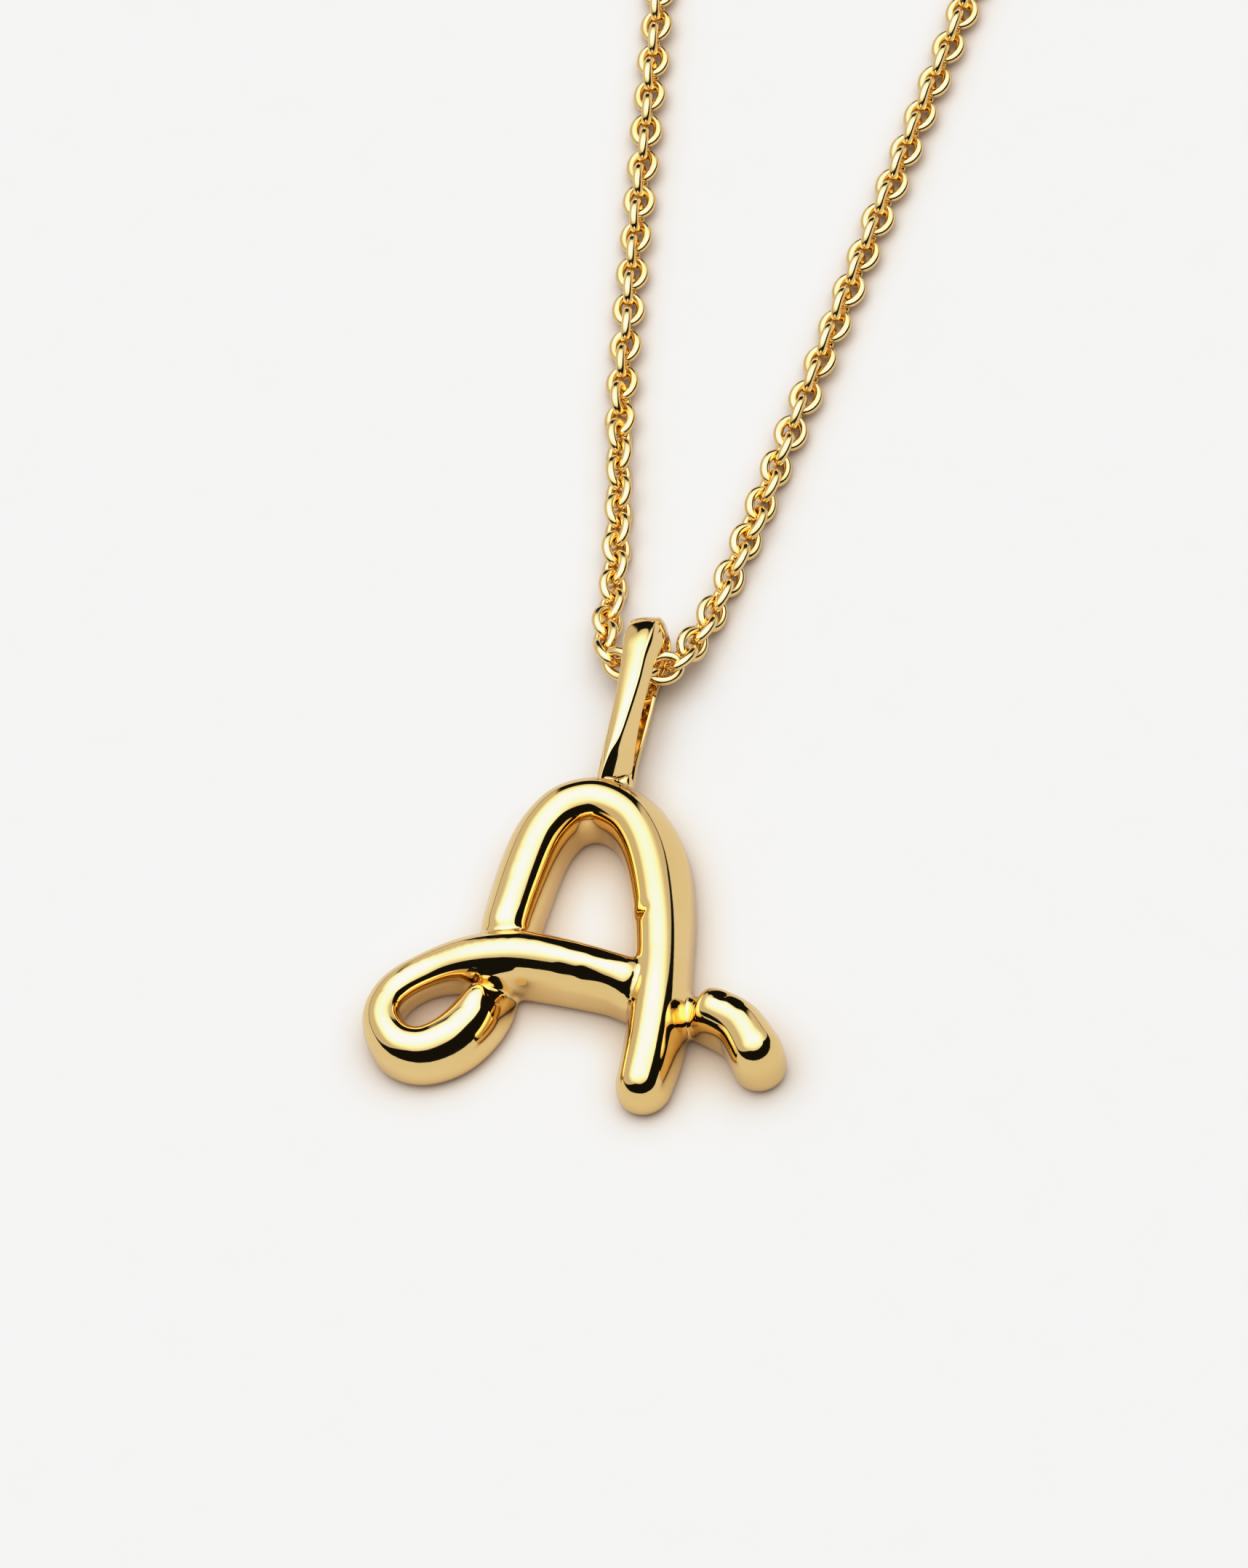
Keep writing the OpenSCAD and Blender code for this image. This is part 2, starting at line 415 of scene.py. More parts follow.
def join_rings(mesh: bmesh.types.BMesh, rings: list[list[bmesh.types.BMVert]]) -> None:
    """Bridges rings of vertices one after another. Both ends stay open.

    Args:
        mesh: The bmesh that holds them.
        rings: Rings in order, each with the edges of one loop.
    """
    for before, after in zip(rings, rings[1:]):
        bmesh.ops.bridge_loops(mesh, edges=edges_of(before) + edges_of(after))
    bmesh.ops.recalc_face_normals(mesh, faces=mesh.faces)


def spin_wire(
    mesh: bmesh.types.BMesh, radius: float, wire: float, net: Net, centre: Sequence[float] = (0, 0, 0),
    start: float = 0, sweep: float = 360,
) -> list[list[bmesh.types.BMEdge]]:
    """Spins a round wire about an upright axis.

    Args:
        mesh: The bmesh that takes it.
        radius: Distance of the wire's middle from the axis.
        wire: The wire's thickness.
        net: Faces along it and round it.
        centre: Where the axis stands.
        start: Angle at which the wire begins, in degrees.
        sweep: Angle that it runs through, 360 for a closed ring.

    Returns:
        The edges round each open end, none for a closed ring.
    """
    steps, sides = net
    turn = Matrix.Translation(centre) @ Matrix.Rotation(math.radians(start), 4, "Z")
    ring = bmesh.ops.create_circle(
        mesh,
        segments=sides,
        radius=wire / 2,
        matrix=turn @ Matrix.Translation((0, radius, 0)) @ Matrix.Rotation(math.pi / 2, 4, "Y"),
    )["verts"]
    first = edges_of(ring)
    closed = sweep >= 360
    spun = bmesh.ops.spin(
        mesh,
        geom=[*ring, *first],
        cent=centre,
        axis=(0, 0, 1),
        angle=math.radians(sweep),
        steps=steps,
        use_merge=closed,
    )
    last = [part for part in spun["geom_last"] if isinstance(part, bmesh.types.BMEdge)]
    return [] if closed else [first, last]


def dress(piece: bpy.types.Object, node: str) -> bpy.types.Object:
    """Makes a piece ride on the body and stand for its node.

    Args:
        piece: The finished piece.
        node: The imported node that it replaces.

    Returns:
        The same piece.
    """
    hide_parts(node)
    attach(piece, "root")
    return piece


def even_out(mesh: bmesh.types.BMesh, verts: Sequence[bmesh.types.BMVert], times: int) -> None:
    """Evens out a part of a surface.

    Args:
        mesh: The bmesh that holds it.
        verts: Its vertices.
        times: How often each moves half way to the middle of its neighbours.
    """
    for _ in range(times):
        bmesh.ops.smooth_vert(
            mesh, verts=verts, factor=0.5, use_axis_x=True, use_axis_y=True, use_axis_z=True
        )


@dataclass(frozen=True)
class Press:
    """A soft push on the letter's surface, as the wax model's hand work left it.

    Lengths are in millimetres.

    Attributes:
        at: Middle of the push.
        reach: How far it is felt along, across and up.
        push: How far its middle moves.
        turn: Turn of its long side, in degrees.
    """

    at: Row
    reach: Row
    push: Row
    turn: float = 0.0

    def apply(self, mesh: bmesh.types.BMesh) -> None:
        """Moves the vertices within reach.

        Args:
            mesh: The letter so far, in millimetres.
        """
        middle, push = Vector(self.at), Vector(self.push)
        far = max(self.reach)
        cos, sin = math.cos(math.radians(self.turn)), math.sin(math.radians(self.turn))
        for vert in mesh.verts:
            away = vert.co - middle
            if abs(away.x) < far and abs(away.y) < far and abs(away.z) < self.reach[2]:
                along = (away.x * cos + away.y * sin) / self.reach[0]
                across = (away.y * cos - away.x * sin) / self.reach[1]
                left = 1 - along**2 - across**2 - (away.z / self.reach[2]) ** 2
                if left > 0:
                    vert.co += push * ease(0, 1, left)
                    vert.co.z = max(vert.co.z, 0)


class Work(Enum):
    """Ways that a flat is made."""

    SCRAPE = "takes down what stands out"
    FILL = "fills hollows"


@dataclass(frozen=True)
class Flat:
    """A small flat on the letter's surface.

    Lengths are in millimetres, angles in degrees.

    Attributes:
        at: Its middle.
        reach: How far from there it fades out.
        facing: Direction that it faces, seen from above.
        tilt: Angle between its normal and straight up.
        depth: How much of the shoulder's height scraping takes away. A filled flat passes through at.
        work: How it is made.
        blend: Times that its surroundings are evened out afterwards.
        core: How near its middle the shoulder is measured, from 0 at its reach to 1 at its middle.
        full: How near its middle it is quite flat, in the same measure.
    """

    at: Row
    reach: float
    facing: float
    tilt: float
    depth: float = 0.0
    work: Work = Work.SCRAPE
    blend: int = 0
    core: float = 0.8
    full: float = 0.5

    def apply(self, mesh: bmesh.types.BMesh) -> None:
        """Moves the vertices that stand out of the flat, or lie below it, onto it.

        Args:
            mesh: The letter so far, in millimetres.
        """
        facing, tilt = math.radians(self.facing), math.radians(self.tilt)
        lean = math.sin(tilt)
        normal = Vector((lean * math.cos(facing), lean * math.sin(facing), math.cos(tilt)))
        middle = Vector(self.at)
        near = []
        for vert in mesh.verts:
            left = 1 - ((vert.co - middle).length / self.reach) ** 2
            if left > 0:
                near.append((vert, left))
        if self.work is Work.SCRAPE:
            level = max(vert.co.dot(normal) for vert, left in near if left > self.core) - self.depth
        else:
            level = middle.dot(normal)
        for vert, left in near:
            over = vert.co.dot(normal) - level
            if (over > 0) == (self.work is Work.SCRAPE):
                vert.co -= normal * over * ease(0, self.full, left)
        even_out(mesh, [vert for vert, _ in near], self.blend)


@dataclass
class Letter:
    """The letter A, one cast piece whose strokes melt into each other.

    Lengths are in millimetres.

    Attributes:
        finish: Its gold.
        node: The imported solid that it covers.
        cut_y: Where the bail's foot is cut off.
        voxel: Size of the even net's faces.
        soften: Times that the net is evened out before the hand work.
        settle: Times that it is evened out afterwards.
        weld: Distance within which the solid's corners are one.
        presses: The hand work, in order.
    """

    finish: GoldFinish
    node: str = "pendant"
    cut_y: float = 8.95
    voxel: float = 0.07
    soften: int = 10
    settle: int = 8
    weld: float = 0.0005
    presses: tuple[Press | Flat, ...] = (
        # flats along the crossbar's lower shoulder
        Flat((0.3, -0.09, 2.7), 0.9, -98, 48, 0.015),
        Flat((1.2, -0.22, 2.67), 0.9, -100, 48, 0.025),
        # flats along the upper shoulders of the crossbar and of the tail
        Flat((-0.5, 1.0, 2.85), 0.9, 83, 24, 0.03),
        Flat((0.5, 0.87, 2.85), 0.9, 81, 24, 0.05),
        Flat((1.5, 0.7, 2.8), 0.9, 78, 24, 0.05),
        Flat((5.6, -0.3, 2.7), 0.8, 60, 28, 0.05),
        Flat((6.35, -0.75, 2.65), 0.7, 60, 28, 0.05),
        # under-stroke's end, and the steep flats between it and the crossbar
        Press((-3.5, -1.05, 2.0), (0.7, 0.6, 0.8), (0.06, 0.24, 0.1), 60),
        Flat((-3.2, -0.38, 1.7), 0.55, -88, 72, work=Work.FILL),
        Flat((-2.6, -0.36, 1.6), 0.85, -80, 74, work=Work.FILL, blend=20),
        # low neck between the right leg and the tail, left smooth
        Flat((4.66, -0.9, 0.9), 0.7, -70, 72, work=Work.FILL, blend=30),
        # notch in the inner side of the right leg
        Press((2.25, 2.95, 2.3), (0.4, 0.45, 0.8), (0.07, 0.0, -0.04)),
        # letter's top under the bail's foot
        Press((-0.15, 8.95, 2.6), (0.8, 0.45, 0.6), (0.0, -0.1, -0.35)),
    )

    def _solid(self) -> bmesh.types.BMesh:
        """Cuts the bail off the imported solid.

        Returns:
            The closed letter in millimetres.
        """
        mesh = bmesh.new()
        mesh.from_mesh(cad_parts[self.node].data)
        bmesh.ops.scale(mesh, vec=(1 / MM,) * 3, verts=mesh.verts)
        bmesh.ops.remove_doubles(mesh, verts=mesh.verts, dist=self.weld)
        bmesh.ops.bisect_plane(
            mesh,
            geom=[*mesh.verts, *mesh.edges, *mesh.faces],
            plane_co=(0, self.cut_y, 0),
            plane_no=(0, 1, 0),
            clear_outer=True,
        )
        bmesh.ops.holes_fill(mesh, edges=mesh.edges)
        return mesh

    def _remeshed(self, mesh: bmesh.types.BMesh) -> bmesh.types.BMesh:
        """Covers the solid with an even net of small faces.

        Args:
            mesh: The closed solid in millimetres, which is freed.

        Returns:
            The same form as one even mesh.
        """
        rough = bpy.data.meshes.new("rough_letter")
        mesh.to_mesh(rough)
        mesh.free()
        holder = bpy.data.objects.new("rough_letter", rough)
        bpy.context.scene.collection.objects.link(holder)
        net = holder.modifiers.new("net", "REMESH")
        net.mode = "VOXEL"
        net.voxel_size = self.voxel
        graph = bpy.context.evaluated_depsgraph_get()
        even = bpy.data.meshes.new_from_object(holder.evaluated_get(graph))
        bpy.data.objects.remove(holder)
        bpy.data.meshes.remove(rough)
        made = bmesh.new()
        made.from_mesh(even)
        bpy.data.meshes.remove(even)
        return made

    def build(self) -> bpy.types.Object:
        """Builds the letter.

        Returns:
            The dressed letter.
        """
        mesh = self._remeshed(self._solid())
        even_out(mesh, mesh.verts, self.soften)
        for press in self.presses:
            press.apply(mesh)
        even_out(mesh, mesh.verts, self.settle)
        made = solid_from("letter_a", mesh, self.finish.material())
        return dress(made, self.node)


@dataclass
class Bail:
    """The long loop that is soldered to the letter's top and holds the chain.

    Its face is a low crown on the left and a steep flank on the right, which meet in a ridge. The ridge
    moves left and softens towards the foot. Lengths are in millimetres, and places across the band's
    section run from -1 at its left edge to 1 at its right one.

    Attributes:
        finish: Its gold.
        node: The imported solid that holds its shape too.
        foot_y: Where its foot stands on the letter.
        wide: Its width where the share of it is 1.
        thick: Its thickness.
        low: Height of the rear strap's middle at the bend.
        high: Height of the front strap's middle at the bend.
        bend_x: The bend's place across.
        bend_y: Where the bend begins, from the foot.
        bend_wide: The bend's share of width.
        bend_rows: Rows in the bend.
        ridge: The ridge's place across.
        ridge_round: How far its bevel runs to each side.
        steep: The bevel's drop for its run.
        flank_at: Place of the flank's extra point, from the ridge to the right edge.
        crown_at: Place of the crown's extra point, from the left shoulder to the ridge.
        shoulder: Drop from the top to the left shoulder.
        shoulder_at: The left shoulder's place across.
        fall: Drops of the ridge, the crown's extra point and the crown's middle from the top.
        side_at: Place across of the points under the shoulders.
        under_at: Place across of the underside's corners.
        lip: Height of the sides' lowest points over the underside.
        rings_a_row: Sections from one row to the next.
        sides: Points round a section.
        solder: Middle and radii of each bead of solder.
        bead_net: Faces round and along a bead.
    """

    finish: GoldFinish
    node: str = "pendant"
    foot_y: float = 8.5
    wide: float = 1.1
    thick: float = 0.8
    low: float = 0.42
    high: float = 2.75
    bend_x: float = -0.05
    bend_y: float = 6.12
    bend_wide: float = 1.36
    bend_rows: int = 5
    ridge: float = 0.6
    ridge_round: float = 0.1
    steep: float = 2.4
    flank_at: float = 0.3
    crown_at: float = 0.85
    shoulder: float = 0.17
    shoulder_at: float = 0.82
    fall: Row = (0.015, 0.02, 0.04)
    side_at: float = 0.99
    under_at: float = 0.86
    lip: float = 0.1
    rings_a_row: int = 8
    sides: int = 60
    solder: tuple[tuple[Row, Row], ...] = (
        ((-0.30, 8.56, 2.30), (0.38, 0.12, 0.10)),
        ((0.14, 8.46, 2.34), (0.06, 0.11, 0.10)),
    )
    bead_net: Net = (28, 16)

    def rows(self) -> list[Row]:
        """Lists the rows of the loop, from its foot round the bend and back.

        Returns:
            Rows of x, y from the foot, height, share of width, ridge, bevel and depth of the flanks.
        """
        radius = (self.high - self.low) / 2
        face = (self.ridge, self.ridge_round, 0.0)
        up = [
            (-0.18, -0.40, 2.05, 0.97, -0.25, 0.28, 0.50),
            (-0.18, 0.30, 2.14, 0.98, -0.22, 0.28, 0.50),
            (-0.16, 1.10, 2.27, 1.00, -0.05, 0.22, 0.35),
            (-0.14, 1.80, 2.38, 0.99, 0.22, 0.10, 0.15),
            (-0.11, 2.90, 2.52, 0.98, 0.45, self.ridge_round, 0.0),
            (-0.07, 4.20, 2.68, 1.04, *face),
            (-0.07, 5.30, self.high, 1.15, *face),
        ]
        bend = []
        for step in range(self.bend_rows + 1):
            angle = math.radians(90 - 180 * step / self.bend_rows)
            y = self.bend_y + radius * math.cos(angle)
            height = self.low + radius + radius * math.sin(angle)
            bend.append((self.bend_x, y, height, self.bend_wide, *face))
        down = [
            (-0.15, 5.30, self.low, 1.15, *face),
            (-0.11, 4.20, 0.45, 1.05, *face),
            (-0.08, 2.70, 0.60, 1.00, *face),
            (-0.04, 1.30, 0.95, 1.00, *face),
            (0.00, 0.30, 1.25, 1.15, *face),
            (0.02, -0.40, 1.35, 1.20, *face),
        ]
        return [*up, *bend, *down]

    def _section(self, half: float, ridge: float, soft: float, deep: float) -> SmoothTable:
        """Shapes the band's section, with a bevel for its ridge.

        Args:
            half: Half the band's width.
            ridge: The ridge's place across.
            soft: How far the bevel runs to each side of it.
            deep: How much further down the flanks run.

        Returns:
            The closed section, across and up from its middle.
        """
        top = self.thick / 2
        base = -top - deep
        at_ridge, at_crown, at_middle = self.fall
        left, right = ridge - soft, ridge + soft
        low = (self.side_at, base + self.lip)
        high = (right, top - (self.steep * soft * half + at_ridge))
        flank = [a + (b - a) * self.flank_at for a, b in zip(high, low)]
        crown = left * self.crown_at - self.shoulder_at * (1 - self.crown_at)
        points = [
            (self.under_at, base), low, flank, high,
            (left, top - at_ridge), (crown, top - at_crown), ((ridge - 1) / 2, top - at_middle),
            (-self.shoulder_at, top - self.shoulder), (-self.side_at, top - self.shoulder * 2),
            (-1.0, base + self.lip), (-self.under_at, base), (0.0, base), (self.under_at, base),
        ]
        return SmoothTable([(across * half, up) for across, up in points])

    def build(self) -> bpy.types.Object:
        """Builds the bail from rings that are bridged along its loop, and its solder.

        Returns:
            The dressed bail.
        """
        table = SmoothTable(self.rows())
        mesh = bmesh.new()
        rings = []
        steps = (len(table.rows) - 1) * self.rings_a_row
        across = Vector((1, 0, 0))
        for step in range(steps + 1):
            place = step / self.rings_a_row
            x, y, z, share, *face = table.at(place)
            along = Vector((0, *table.slope(place)[1:3])).normalized()
            out = across.cross(along)
            section = self._section(share * self.wide / 2, *face)
            ring = bmesh.ops.create_circle(mesh, segments=self.sides, radius=1)["verts"]
            for number, vert in enumerate(ring):
                right, up = section.at(number * (len(section.rows) - 1) / self.sides)
                vert.co = Vector((x, self.foot_y + y, z)) + across * right + out * up
            rings.append(ring)
        join_rings(mesh, rings)
        for place, radii in self.solder:
            shape = Matrix.LocRotScale(Vector(place), None, Vector(radii))
            slices, layers = self.bead_net
            bmesh.ops.create_uvsphere(mesh, u_segments=slices, v_segments=layers, radius=1, matrix=shape)
        made = solid_from("bail", mesh, self.finish.material())
        return dress(made, self.node)


@dataclass
class Route:
    """The way that the chain takes from its clasp through the bail and back.

    Lengths are in millimetres.

    Attributes:
        cross_x: Where the chain crosses the bail's middle, across.
        cross_y: Where it crosses the bail, along.
        clasp_y: The clasp's place.
        lying: Height of the chain's middle where it lies.
        end_x: Distance of its ends from the clasp's middle.
        samples: Points from one row to the next.
    """

    cross_x: float = -0.1
    cross_y: float = 14.1
    clasp_y: float = 217.1
    lying: float = 0.7
    end_x: float = 4.265
    samples: int = 24

    def rows(self) -> list[Row]:
        """Returns the points: x, y and the height of the chain's middle."""
        points = [
            (-15, 200, 0), (-24, 193, 0), (-29, 182, 0), (-30.6, 169, 0), (-29.6, 155.5, 0),
            (-27.2, 141, 0), (-24, 126, 0), (-20.3, 110, 0), (-16.5, 93, 0), (-13, 76, 0),
            (-10, 59, 0), (-7.5, 43, 0), (-6.1, 32, 0), (-4.9, 22, 0), (-3.8, 13.2, 0),
            (-2.7, 7.2, 0), (-2.2, 3.6, 0.05), (-2, 1.6, 0.45), (-1.25, 0.2, 0.86),
            (self.cross_x, 0, 0.885), (0.95, 0.25, 0.85), (1.5, 1.6, 0.45), (1.95, 3.6, 0.05),
            (2.6, 7.2, 0), (3.5, 13.2, 0), (4.8, 22, 0), (6.3, 32, 0), (8, 43, 0), (10.3, 59, 0),
            (13.2, 76, 0), (16.6, 93, 0), (20.3, 110, 0), (24, 126, 0), (27.2, 141, 0),
            (29.6, 155.5, 0), (30.6, 169, 0), (29, 182, 0), (24, 193, 0), (15, 200, 0),
        ]
        return [
            (-self.end_x, self.clasp_y, self.lying),
            *[(x, self.cross_y + y, self.lying + rise) for x, y, rise in points],
            (self.end_x, self.clasp_y, self.lying),
        ]

    def measured(self) -> tuple[list[Vector], list[float]]:
        """Walks the route.

        Returns:
            Points close together, and the length of chain up to each.
        """
        table = SmoothTable(self.rows())
        count = (len(table.rows) - 1) * self.samples
        points = [Vector(table.at(k / self.samples)) for k in range(count + 1)]
        for point in points:
            point.z = max(point.z, self.lying)
        lengths = [0.0]
        for before, after in zip(points, points[1:]):
            lengths.append(lengths[-1] + (after - before).length)
        return points, lengths


@dataclass
class CableChain:
    """A fine cable chain of round-wire links, each turned a quarter from the last.

    Lengths are in millimetres, angles in degrees.

    Attributes:
        finish: Its gold.
        route: The way that it takes.
        node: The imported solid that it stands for.
        pitch: Distance from link to link, before it is fitted to the route.
        long: A link's length.
        wide: Its width.
        wire: Its wire's thickness.
        near: How far from the bail the links have the fine net.
        near_net: Faces round such a link and round its wire.
        far_net: The same for the other links.
        sink: How far a link that lies flat sinks below one that stands.
        twist: How far the chain is rolled away from the bail.
        twist_full: Distance from the bail up to which it is rolled.
        twist_from: Distance from which it lies plain.
        sway: How far a link may be turned at random.
        seed: Start of the random draws.
    """

    finish: GoldFinish
    route: Route
    node: str = "chain"
    pitch: float = 0.89
    long: float = 1.67
    wide: float = 1.37
    wire: float = 0.39
    near: float = 55.0
    near_net: Net = (30, 12)
    far_net: Net = (16, 7)
    sink: float = 0.2
    twist: float = 45.0
    twist_from: float = 17.0
    twist_full: float = 9.0
    sway: float = 9.0
    seed: int = 7

    def _link(self, net: Net) -> bpy.types.Mesh:
        """Makes one link that lies flat along x.

        Args:
            net: Faces round the link and round its wire.

        Returns:
            The link's mesh.
        """
        mesh = bmesh.new()
        radius = (self.wide - self.wire) / 2
        stretch = (self.long - self.wire) / (self.wide - self.wire)
        spin_wire(mesh, radius, self.wire, net)
        bmesh.ops.remove_doubles(mesh, verts=mesh.verts, dist=WELD)
        bmesh.ops.recalc_face_normals(mesh, faces=mesh.faces)
        for vert in mesh.verts:
            middle = Vector((vert.co.x, vert.co.y, 0)).normalized() * radius
            vert.co.x += middle.x * (stretch - 1)
        link = bpy.data.meshes.new("link")
        mesh.to_mesh(link)
        mesh.free()
        return link

    def build(self) -> bpy.types.Object:
        """Strings the links along the route.

        Returns:
            The dressed chain.
        """
        points, lengths = self.route.measured()
        gaps = 2 * round(lengths[-1] / self.pitch / 2)
        pitch = lengths[-1] / gaps
        crossing = Vector((self.route.cross_x, self.route.cross_y, 0))
        middle = lengths[min(range(len(points)), key=lambda k: (points[k] - crossing).length)]
        chance = random.Random(self.seed)
        links = {True: self._link(self.near_net), False: self._link(self.far_net)}
        mesh = bmesh.new()
        k = 0
        for number in range(gaps + 1):
            length = number * pitch
            while k < len(lengths) - 2 and lengths[k + 1] < length:
                k += 1
            share = (length - lengths[k]) / (lengths[k + 1] - lengths[k])
            along = (points[k + 1] - points[k]).normalized()
            away = abs(length - middle)
            turn = 90 * ((number + 1) % 2) + self.twist * (1 - ease(self.twist_full, self.twist_from, away))
            if 0 < number < gaps:
                turn += chance.uniform(-self.sway, self.sway)
            self._string(mesh, links[away < self.near], points[k].lerp(points[k + 1], share), along, turn)
        for link in links.values():
            bpy.data.meshes.remove(link)
        made = solid_from("chain_links", mesh, self.finish.material())
        LOG.info("chain_links: %d links, %.2f mm apart, %.1f mm", gaps + 1, pitch, lengths[-1])
        return dress(made, self.node)

    def _string(
        self, mesh: bmesh.types.BMesh, link: bpy.types.Mesh, place: Vector, along: Vector, turn: float
    ) -> None:
        """Adds one link.

        Args:
            mesh: The chain so far.
            link: The link's mesh.
            place: Its middle.
            along: The chain's direction there.
            turn: Its roll in degrees, 0 where it lies flat.
        """
        side = Vector((0, 0, 1)).cross(along).normalized()
        up = along.cross(side)
        roll = math.radians(turn)
        across = side * math.cos(roll) + up * math.sin(roll)
        through = along.cross(across)
        at = place - Vector((0, 0, self.sink * (1 - abs(math.sin(roll)))))
        matrix = Matrix((along, across, through)).transposed().to_4x4()
        copy = link.copy()
        copy.transform(Matrix.Translation(at) @ matrix)
        mesh.from_mesh(copy)
        bpy.data.meshes.remove(copy)


@dataclass
class SpringClasp:
    """A small round spring clasp: a hollow ring with its lever, collars and two eyes.

    Lengths are in millimetres, angles in degrees.

    Attributes:
        finish: Its gold.
        centre_y: Its middle's place.
        node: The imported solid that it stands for.
        across: Its width over the collars.
        tube: The ring's thickness.
        collar: The collars' thickness.
        collars_at: Where each collar begins.
        collar_sweep: Angle that a collar runs through.
        eye_hole: Width of an eye's hole.
        eye_wire: Its wire's thickness.
        eye_x: Distance of an eye from the middle.
        lever: The lever knob's radius.
        lever_at: Its place to the right of the middle and inside the ring's wire.
        cap_rim: Width of a collar's bevel, as a share of its thickness.
        cap_rise: Height of it, in the same measure.
        ring_net: Faces along the ring and round its wire.
        collar_net: The same for a collar.
        eye_net: The same for an eye.
        lever_net: Faces round and along the lever's knob.
    """

    finish: GoldFinish
    centre_y: float
    node: str = "clasp"
    across: float = 6.0
    tube: float = 1.25
    collar: float = 1.4
    collars_at: Row = (-60, 20, 95)
    collar_sweep: float = 12
    eye_hole: float = 0.8
    eye_wire: float = 0.5
    eye_x: float = 3.4
    lever: float = 0.42
    lever_at: Span = (0.9, 0.75)
    cap_rim: float = 0.1
    cap_rise: float = 0.06
    ring_net: Net = (72, 24)
    collar_net: Net = (6, 24)
    eye_net: Net = (32, 14)
    lever_net: Net = (20, 12)

    def _collar(self, mesh: bmesh.types.BMesh, radius: float, middle: Vector, start: float) -> None:
        """Adds a collar with bevelled ends.

        Args:
            mesh: The clasp so far.
            radius: Distance of its middle from the clasp's.
            middle: The clasp's middle.
            start: Angle at which it begins.
        """
        ends = spin_wire(mesh, radius, self.collar, self.collar_net, middle, start, self.collar_sweep)
        for rim in ends:
            cap = bmesh.ops.contextual_create(mesh, geom=rim)["faces"]
            bmesh.ops.inset_region(
                mesh, faces=cap, thickness=self.collar * self.cap_rim, depth=self.collar * self.cap_rise
            )

    def build(self) -> bpy.types.Object:
        """Builds the clasp.

        Returns:
            The dressed clasp.
        """
        mesh = bmesh.new()
        middle = Vector((0, self.centre_y, self.collar / 2))
        radius = (self.across - self.collar) / 2
        spin_wire(mesh, radius, self.tube, self.ring_net, middle)
        for start in self.collars_at:
            self._collar(mesh, radius, middle, start)
        for side in (-1, 1):
            eye = middle + Vector((side * self.eye_x, 0, 0))
            spin_wire(mesh, (self.eye_hole + self.eye_wire) / 2, self.eye_wire, self.eye_net, eye)
        right, inside = self.lever_at
        lever = Matrix.Translation(middle + Vector((right, radius - inside, 0)))
        slices, layers = self.lever_net
        bmesh.ops.create_uvsphere(
            mesh, u_segments=slices, v_segments=layers, radius=self.lever, matrix=lever
        )
        bmesh.ops.remove_doubles(mesh, verts=mesh.verts, dist=WELD)
        bmesh.ops.recalc_face_normals(mesh, faces=mesh.faces)
        made = solid_from("spring_clasp", mesh, self.finish.material())
        return dress(made, self.node)


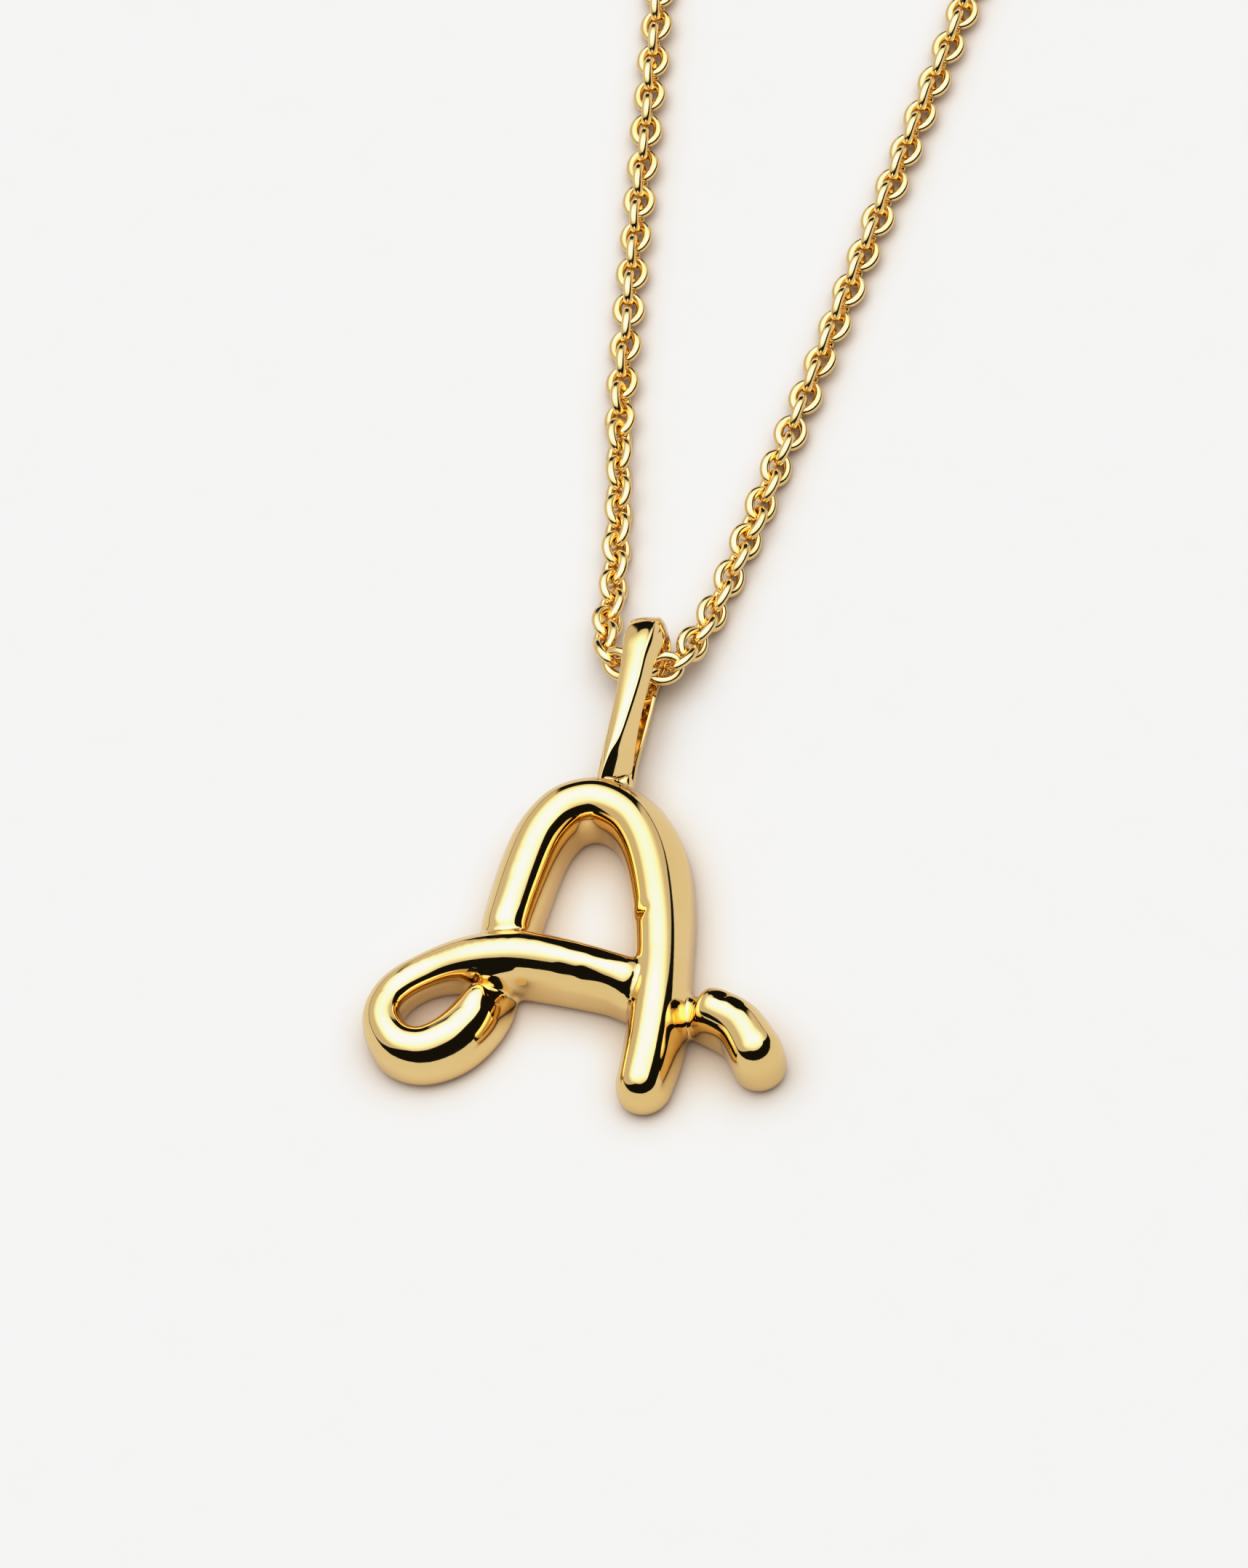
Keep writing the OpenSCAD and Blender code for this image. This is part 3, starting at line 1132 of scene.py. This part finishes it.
@dataclass
class Studio:
    """Pale card, soft overhead light and the camera.

    The light comes from all round. Its directions are given by their height over the card, and by their
    bearing, which is 0 towards the viewer and grows to the right. Lengths are in millimetres, angles in
    degrees.

    Attributes:
        card: The card's finish.
        eye: The camera's place.
        target: What it looks at.
        roll: How far it is rolled.
        lens: Its focal length.
        sensor: Its picture's width.
        clip: Nearest and furthest that it sees.
        floor_size: The card's width.
        overhead: Brightness overhead.
        rim: Brightness at the rim.
        rim_at: Height where the rim's brightness ends.
        overhead_at: Height where the overhead brightness begins, away from the viewer.
        viewer_overhead_at: The same towards the viewer.
        right_drop: How much lower the rim ends on the right.
        turning: Share of a side's direction over which the last two set in.
        dark: Brightness of the dark room.
        dark_low: Height that it reaches all round.
        dark_high: Height that it reaches towards the viewer.
        dark_left: Bearings over which it rises, on the left.
        dark_right: Bearings over which it falls, on the right.
        panel_from: Bearings over which a dark panel behind the necklace begins. These are 0 straight behind
            and grow to the left.
        panel_to: Bearings over which it ends.
        panel_high: Heights over which it ends.
        edge: Softness of the dark room's edge.
        backdrop: Brightness behind the card to the camera.
        light_colour: The light's tint.
        tone_top: Brightness at the top of the tone curve.
        tones: Points of the tone curve, as brightness and tone.
    """

    # the curve that acts on all colours, and the smallest level share of a direction
    ALL_COLOURS = 3
    LEAST_LEVEL = 0.001

    card: PaperFinish
    eye: Row = (63.372, -126.616, 231.727)
    target: Row = (-0.226, 9.770, 0.0)
    roll: float = 16.0
    lens: float = 164.97
    sensor: float = 36.0
    clip: Span = (10.0, 20000.0)
    floor_size: float = 6000.0
    overhead: float = 3.9
    rim: float = 0.8
    rim_at: float = 28.0
    overhead_at: float = 72.0
    viewer_overhead_at: float = 92.0
    right_drop: float = 12.0
    turning: Span = (0.2, 0.9)
    dark: float = 0.01
    dark_low: float = 1.0
    dark_high: float = 35.0
    dark_left: Span = (-108.0, -26.0)
    dark_right: Span = (74.0, 126.0)
    panel_from: Span = (-44.0, -38.0)
    panel_to: Span = (6.0, 10.0)
    panel_high: Span = (30.0, 33.0)
    edge: float = 3.0
    backdrop: float = 1.21
    light_colour: Colour = (1.0, 0.99, 0.975)
    tone_top: float = 4.0
    tones: tuple[Span, ...] = (
        (0.26, 0.22), (0.62, 0.54), (0.87, 0.75), (1.02, 0.85), (1.21, 0.92), (2.2, 0.94), (3.0, 0.955)
    )

    def camera(self) -> None:
        """Sets up the camera at the picture's viewing angle."""
        data = bpy.data.cameras.new("camera")
        data.lens = self.lens
        data.sensor_width = self.sensor
        data.clip_start, data.clip_end = (distance * MM for distance in self.clip)
        made = bpy.data.objects.new("camera", data)
        bpy.context.scene.collection.objects.link(made)
        forward = (Vector(self.target) - Vector(self.eye)).normalized()
        level = forward.cross(Vector((0, 0, 1))).normalized()
        up = level.cross(forward)
        roll = math.radians(self.roll)
        right = level * math.cos(roll) - up * math.sin(roll)
        rise = right.cross(forward)
        turn = Matrix((right, rise, -forward)).transposed().to_4x4()
        made.matrix_world = Matrix.Translation(Vector(self.eye) * MM) @ turn
        bpy.context.scene.camera = made

    def floor(self) -> None:
        """Lays the pale card under the necklace."""
        mesh = bmesh.new()
        bmesh.ops.create_grid(mesh, x_segments=4, y_segments=4, size=self.floor_size / 2)
        solid_from("floor_card", mesh, self.card.material())

    def _open(self, shader: Shader, ahead: Wire, right: Wire, height: Wire) -> Wire:
        """Shuts the light out on the viewer's side, and low down all round.

        Args:
            shader: The world's shader.
            ahead: A direction's part towards the viewer.
            right: Its part to the viewer's right.
            height: Its height in degrees.

        Returns:
            The share of light that is let through.
        """
        bearing = shader.maths("ARCTAN2", right, ahead) * math.degrees(1)
        dark = bearing.smooth(*self.dark_left) * (1 - bearing.smooth(*self.dark_right))
        limit = dark * (self.dark_high - self.dark_low) + self.dark_low
        return height.smooth(limit, limit + self.edge)

    def _panel(self, shader: Shader, ahead: Wire, right: Wire, height: Wire) -> Wire:
        """Sets a dark panel up behind the necklace.

        Args:
            shader: The world's shader.
            ahead: A direction's part towards the viewer.
            right: Its part to the viewer's right.
            height: Its height in degrees.

        Returns:
            The share of light that it hides.
        """
        away = shader.maths("ARCTAN2", 0 - right, 0 - ahead) * math.degrees(1)
        panel = away.smooth(*self.panel_from) * (1 - away.smooth(*self.panel_to))
        return panel * (1 - height.smooth(*self.panel_high))

    def light(self) -> None:
        """Lights the scene: bright overhead, fading to its rim, over a dark room on the viewer's side."""
        world = bpy.data.worlds.new("studio")
        world.use_nodes = True
        shader = Shader(world.node_tree)
        view = shader.node("ShaderNodeTexCoord", output="Generated")
        x, y, z = (
            shader.node("ShaderNodeSeparateXYZ", inputs={"Vector": view}, output=axis) for axis in "XYZ"
        )
        height = shader.maths("ARCSINE", z) * math.degrees(1)
        toward = (Vector(self.eye) - Vector(self.target)).to_2d().normalized()
        ahead = x * toward.x + y * toward.y
        right = y * toward.x - x * toward.y
        level = shader.maths("SQRT", 1 - z * z) + self.LEAST_LEVEL
        viewer = (ahead / level).smooth(*self.turning)
        low = self.rim_at - (right / level).smooth(*self.turning) * self.right_drop
        high = self.overhead_at + viewer * (self.viewer_overhead_at - self.overhead_at)
        glow = height.smooth(low, high, self.rim, self.overhead)
        opened = self._open(shader, ahead, right, height)
        panel = self._panel(shader, ahead, right, height)
        radiance = opened * glow * (1 - panel) + self.dark
        seen = shader.node("ShaderNodeLightPath", output="Is Camera Ray")
        strength = radiance * (1 - seen) + seen * self.backdrop
        lit = shader.node(
            "ShaderNodeBackground", inputs={"Color": (*self.light_colour, 1.0), "Strength": strength}
        )
        shader.node("ShaderNodeOutputWorld", inputs={"Surface": lit})
        bpy.context.scene.world = world

    def develop(self) -> None:
        """Sets a plain view whose brightest tones level off, as a print's do."""
        view = bpy.context.scene.view_settings
        view.view_transform = "Standard"
        view.use_curve_mapping = True
        tones = view.curve_mapping
        tones.white_level = (self.tone_top,) * 3
        curve = tones.curves[self.ALL_COLOURS]
        for place, value in self.tones:
            curve.points.new(place / self.tone_top, value)
        curve.points[-1].location = (1.0, 1.0)
        tones.update()

    def build(self) -> None:
        """Builds the studio."""
        self.camera()
        self.floor()
        self.light()
        self.develop()
        LOG.info("studio: camera, card and light")


def main() -> None:
    logging.basicConfig(level=logging.INFO, format="%(name)s: %(message)s", stream=sys.stdout)
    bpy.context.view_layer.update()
    letter_gold = GoldFinish("letter_gold_polish")
    bail_gold = GoldFinish("bail_gold_polish", wave_length=0.9, wave_depth=0.0008)
    chain_gold = GoldFinish(
        "chain_gold_polish", gloss=0.1, haze=0.18, wave_length=0.5, wave_depth=0.0006, draw=Draw.EVERY_WAY
    )
    clasp_gold = GoldFinish("clasp_gold_polish", gloss=0.05, haze=0.1, wave_length=0.8, draw=Draw.EVERY_WAY)
    route = Route()
    Studio(PaperFinish()).build()
    chain, clasp = CableChain(chain_gold, route), SpringClasp(clasp_gold, route.clasp_y)
    for part in (Letter(letter_gold), Bail(bail_gold), chain, clasp):
        piece = part.build()
        LOG.info("%s: %d faces, for %s", piece.name, len(piece.data.polygons), part.node)


if __name__ == "__main__":
    main()
